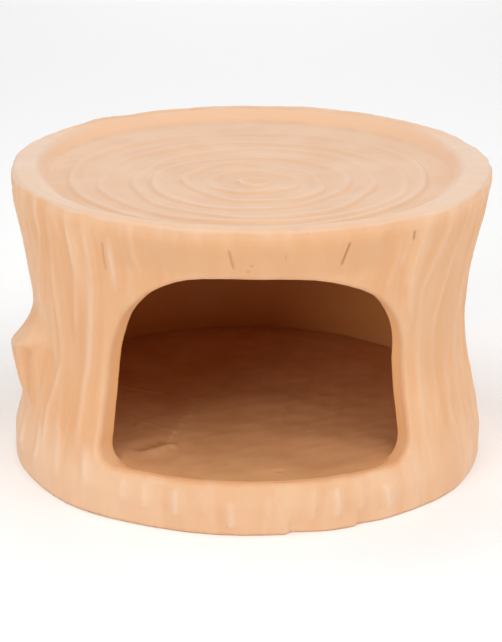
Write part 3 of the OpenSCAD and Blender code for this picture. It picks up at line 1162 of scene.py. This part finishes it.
# A pin hole in the floor, and how pale the smears are for each millimetre
PINHOLE = (10.6, -70.8)
PINHOLE_DEPTH = 0.7
PINHOLE_W = 0.8
SMEAR_PALE = 0.6


def floor_marks(points):
    """Height of the smears and the depth of the pin hole on the floor."""
    x, y = points[:, 0], points[:, 1]
    height = np.zeros(len(points))
    for start, end, half, rise in FLOOR_SMEARS:
        height += rise * bell(line_distance(x, y, start, end), half)
    height *= 1 + uneven(points, SMEAR_WAVES)
    return height - PINHOLE_DEPTH * bell(np.hypot(x - PINHOLE[0], y - PINHOLE[1]), PINHOLE_W)


def make_floor():
    """The floor slab, level with the sill and lapped over it, trowelled by hand."""
    angles = np.arange(-180, 180, TURN_STEP)
    edge = slip_r(FLOOR_TOP_Z)
    lap = (sill_reach(angles) - edge) / (SILL_R - edge)
    reach = sill_reach(angles) + uneven(around(angles, edge, 0), CRUMB_WAVES) * lap
    rows = [around(angles, share * reach, FLOOR_TOP_Z) for share in np.linspace(FLOOR_INNER, 1, FLOOR_RINGS)]
    rows += [around(angles, r, FLOOR_TOP_Z - SILL_LAP_ROOT) for r in (reach, edge)]
    rows = np.array(rows + under_rows(angles, edge, FLOOR_UNDER_Z))
    flat = rows.reshape(-1, 3)
    top = flat[:, 2] > FLOOR_TOP_Z - SILL_LAP_ROOT / 2
    past = np.hypot(flat[:, 0], flat[:, 1]) - edge + SILL_LAP_RUN
    on_lap = ease(past / SILL_LAP_RUN) * np.tile(lap, len(rows)) * top
    marks = floor_marks(flat) * top
    flat[:, 2] += uneven(flat, FLOOR_WAVES) * (1 - on_lap) + SILL_LAP_T * on_lap + marks
    # Hollows and the pin hole are painted darker as shade, and the smears paler
    crest = np.where(marks < 0, 1, SMEAR_PALE) * marks
    add_piece("floor_disc", skin("floor_disc", rows, False), "floor_clay", "floor_slab", with_ends(crest))


# Shape of the knot over its width and height, both -1 to 1: powers of its slopes above and below the lip,
# how softly they meet, and where its left and right sides start to fall
KNOT_UPPER_POWER = 2.3
KNOT_LOWER_POWER = 0.95
KNOT_LIP_SOFT = 0.3
KNOT_LEFT = 0.6
KNOT_RIGHT = 0.15

# Flutes across the face below the lip: pitch, depth in millimetres, and how they start and end
FLUTE_PITCH = 0.43
FLUTE_DEPTH = 0.5
FLUTE_TOP_EASE = 0.3
FLUTE_LOW_EASE = 0.5

# A pit in the face: depth, place across, drop below the lip, half width and half height
PIT_DEPTH = 0.9
PIT_ACROSS = 0.45
PIT_DROP = 0.18
PIT_W = 0.07
PIT_H = 0.08

# How the knot meets the bark: its outline's bluntness, how late its face and its tone run out, how far and
# how late its edge is pressed in, the rings of its back, and how deep they are sunk
KNOT_BLUNT = 0.75
KNOT_FACE_POWER = 6
KNOT_TONE_POWER = 4
KNOT_PRESS = 0.4
KNOT_PRESS_POWER = 8
KNOT_BACK = (0.9, 0.45, 0.02)
KNOT_SUNK = 1.2

# Tones of the knot: share and reach of the lip's pale, worn and painted as a highlight, and the painted shade
# of its face and top, and of its flutes
WORN_LIT_MOST = 0.5
WORN_LIT_FROM = -0.12
WORN_LIT_TO = 0.3
WORN_LIT_LOW_EASE = 0.15
WORN_LIT_HIGH_EASE = 0.2
FACE_SHADE = 0.1
FLUTE_SHADE = 0.3
SHADE_EASE = 0.2


def flute(u):
    """Grooves across the knot's face, from -1 on a crest to 1 in a groove."""
    return np.cos(2 * math.pi * u / FLUTE_PITCH)


def knot_rise(u, v):
    """Height of the knot above the wall, over its width u and its height v, both from -1 to 1."""
    lip = KNOT_LIP + KNOT_TILT * u
    upper = np.clip((1 - v) / (1 - lip), 0, None) ** KNOT_UPPER_POWER
    lower = np.clip((1 + v) / (1 + lip), 0, None) ** KNOT_LOWER_POWER
    body = np.clip(-soft_max(-upper, -lower, KNOT_LIP_SOFT), 0, None)
    left = 1 - ease((-u - KNOT_LEFT) / (1 - KNOT_LEFT))
    right = 1 - ease((u - KNOT_RIGHT) / (1 - KNOT_RIGHT))
    flutes = FLUTE_DEPTH * flute(u) * within(v, -1, lip, FLUTE_LOW_EASE, FLUTE_TOP_EASE)
    pit = PIT_DEPTH * bell(u - PIT_ACROSS, PIT_W) * bell(v - lip + PIT_DROP, PIT_H)
    return (KNOT_OUT * body - flutes) * left * right - pit


def knot_tone(u, v):
    """How pale or dark the knot is: its lip is worn and painted with a highlight, and its face, flutes and
    top get painted shade.
    """
    over = v - KNOT_LIP - KNOT_TILT * u
    # The lip is painted pale as wear and as a highlight; the face, flutes and top get painted shade
    worn = within(over, WORN_LIT_FROM, WORN_LIT_TO, WORN_LIT_LOW_EASE, WORN_LIT_HIGH_EASE)
    shaded = (FACE_SHADE + FLUTE_SHADE * flute(u)) * ease(-over / SHADE_EASE)
    return WORN_LIT_MOST * worn - shaded - FACE_SHADE * ease((over - SHADE_EASE) / SHADE_EASE)


def knot_ring(share):
    """Places across and up the knot on a ring, from its middle at 0 to its edge at 1."""
    turn = np.radians(np.arange(0, 360, KNOT_TURN_STEP))
    places = np.stack([np.cos(turn), np.sin(turn)])
    return share * np.sign(places) * np.abs(places) ** KNOT_BLUNT


def make_knot():
    """The branch knot, a sprig pressed on to the bark."""
    rows, crest = [], []
    face = [(k / KNOT_RINGS, False) for k in range(1, KNOT_RINGS + 1)]
    back = [(share, True) for share in KNOT_BACK]
    for share, sunk in face + back:
        u, v = knot_ring(share)
        z = KNOT_Z + v * KNOT_H / 2
        angle = KNOT_ANGLE + np.degrees(u * (1 + KNOT_TAPER * v) * KNOT_W / 2 / WAIST_R)
        rise = knot_rise(u, v) * (1 - share**KNOT_FACE_POWER) - KNOT_PRESS * share**KNOT_PRESS_POWER
        face_r = flat_r(z) + bark.sample(angle, z) + rise
        rows.append(around(angle, flat_r(z) - KNOT_SUNK if sunk else face_r, z))
        edge = share**KNOT_TONE_POWER
        crest.append(knot_tone(u, v) * (1 - edge) + chalk_and_shade.sample(angle, z) * edge)
    mesh = skin("branch_stub", np.array(rows), False)
    add_piece("branch_stub", mesh, "wall_clay", "branch_knot", with_ends(crest))


make_wall()
make_top()
make_cove()
make_coil("roof_joint", "roof_coil", TOP_UNDER_Z, ROOF_COIL_WAVES)
make_floor()
make_coil("floor_joint", "floor_coil", FLOOR_UNDER_Z, FLOOR_COIL_WAVES)
make_knot()


# Camera of the photograph
IMAGE_LONG_SIDE = 642
FOCAL_PIXELS = 2164
CENTRE_SHIFT_PIXELS = 2.4
CAMERA_PLACE = (0, -0.728, 0.298)
CAMERA_DIP = 19.13
CAMERA_ROLL = 0.34
SENSOR = 36


def add_camera():
    """The camera at the photograph's viewing angle."""
    data = bpy.data.cameras.new("camera")
    data.sensor_width = SENSOR
    data.lens = SENSOR * FOCAL_PIXELS / IMAGE_LONG_SIDE
    data.shift_x = CENTRE_SHIFT_PIXELS / IMAGE_LONG_SIDE
    camera = bpy.data.objects.new("camera", data)
    tilt = Matrix.Rotation(math.radians(90 - CAMERA_DIP), 4, "X")
    roll = Matrix.Rotation(math.radians(CAMERA_ROLL), 4, "Z")
    camera.matrix_world = Matrix.Translation(CAMERA_PLACE) @ tilt @ roll
    bpy.context.scene.collection.objects.link(camera)
    bpy.context.scene.camera = camera


# Softboxes: angle from the doorway and height in degrees, width in metres and power in watts
SOFTBOXES = {
    "left_high": (-100, 60, 0.9, 5.2),
    "front_left": (-38, 25, 0.8, 4.9),
    "low_left": (-35, 6, 0.5, 1.7),
    "front_high": (0, 55, 0.9, 3.6),
    "front_right": (45, 48, 0.9, 3.5),
    "low_right": (65, 12, 0.6, 3.3),
    "right_high": (100, 58, 0.9, 3.1),
    "right_side": (100, 30, 0.8, 1.6),
    "back": (180, 25, 0.9, 3.5),
}

# Distance of the softboxes in metres
LAMP_REACH = 1.3


def add_softbox(name, angle, height, size, power):
    """A large soft lamp aimed at the stump, at an angle from the doorway and a height, both in degrees."""
    data = bpy.data.lights.new(name, "AREA")
    data.shape = "DISK"
    data.size = size
    data.energy = power
    lamp = bpy.data.objects.new(name, data)
    lamp.visible_camera = False
    tilt = math.radians(height)
    back = Vector(around(angle, math.cos(tilt), math.sin(tilt)).tolist())
    lamp.location = LAMP_REACH * back
    lamp.rotation_mode = "QUATERNION"
    lamp.rotation_quaternion = (-back).to_track_quat("-Z", "Y")
    bpy.context.scene.collection.objects.link(lamp)


# The pale floor's half width in metres, colour and roughness, and the light tent's colour and strength
STAGE_HALF = 6
STAGE_COLOUR = (0.97, 0.97, 0.97, 1)
STAGE_ROUGHNESS = 0.9
TENT_COLOUR = (1, 1, 1, 1)
TENT_STRENGTH = 0.14


def add_stage():
    """A plain pale floor under soft white light."""
    corners = [(-1, -1), (1, -1), (1, 1), (-1, 1)]
    mesh = bpy.data.meshes.new("stage_floor")
    mesh.from_pydata([(STAGE_HALF * x, STAGE_HALF * y, 0) for x, y in corners], [], [(0, 1, 2, 3)])
    floor = bpy.data.objects.new("stage_floor", mesh)
    material = bpy.data.materials.new("stage_white")
    material.use_nodes = True
    shader = material.node_tree.nodes["Principled BSDF"]
    shader.inputs["Base Color"].default_value = STAGE_COLOUR
    shader.inputs["Roughness"].default_value = STAGE_ROUGHNESS
    mesh.materials.append(material)
    bpy.context.scene.collection.objects.link(floor)
    world = bpy.data.worlds.new("light_tent")
    world.use_nodes = True
    background = world.node_tree.nodes["Background"]
    background.inputs["Color"].default_value = TENT_COLOUR
    background.inputs["Strength"].default_value = TENT_STRENGTH
    bpy.context.scene.world = world
    for name, lamp in SOFTBOXES.items():
        add_softbox(name, *lamp)
    bpy.context.scene.view_settings.view_transform = "Standard"


add_camera()
add_stage()
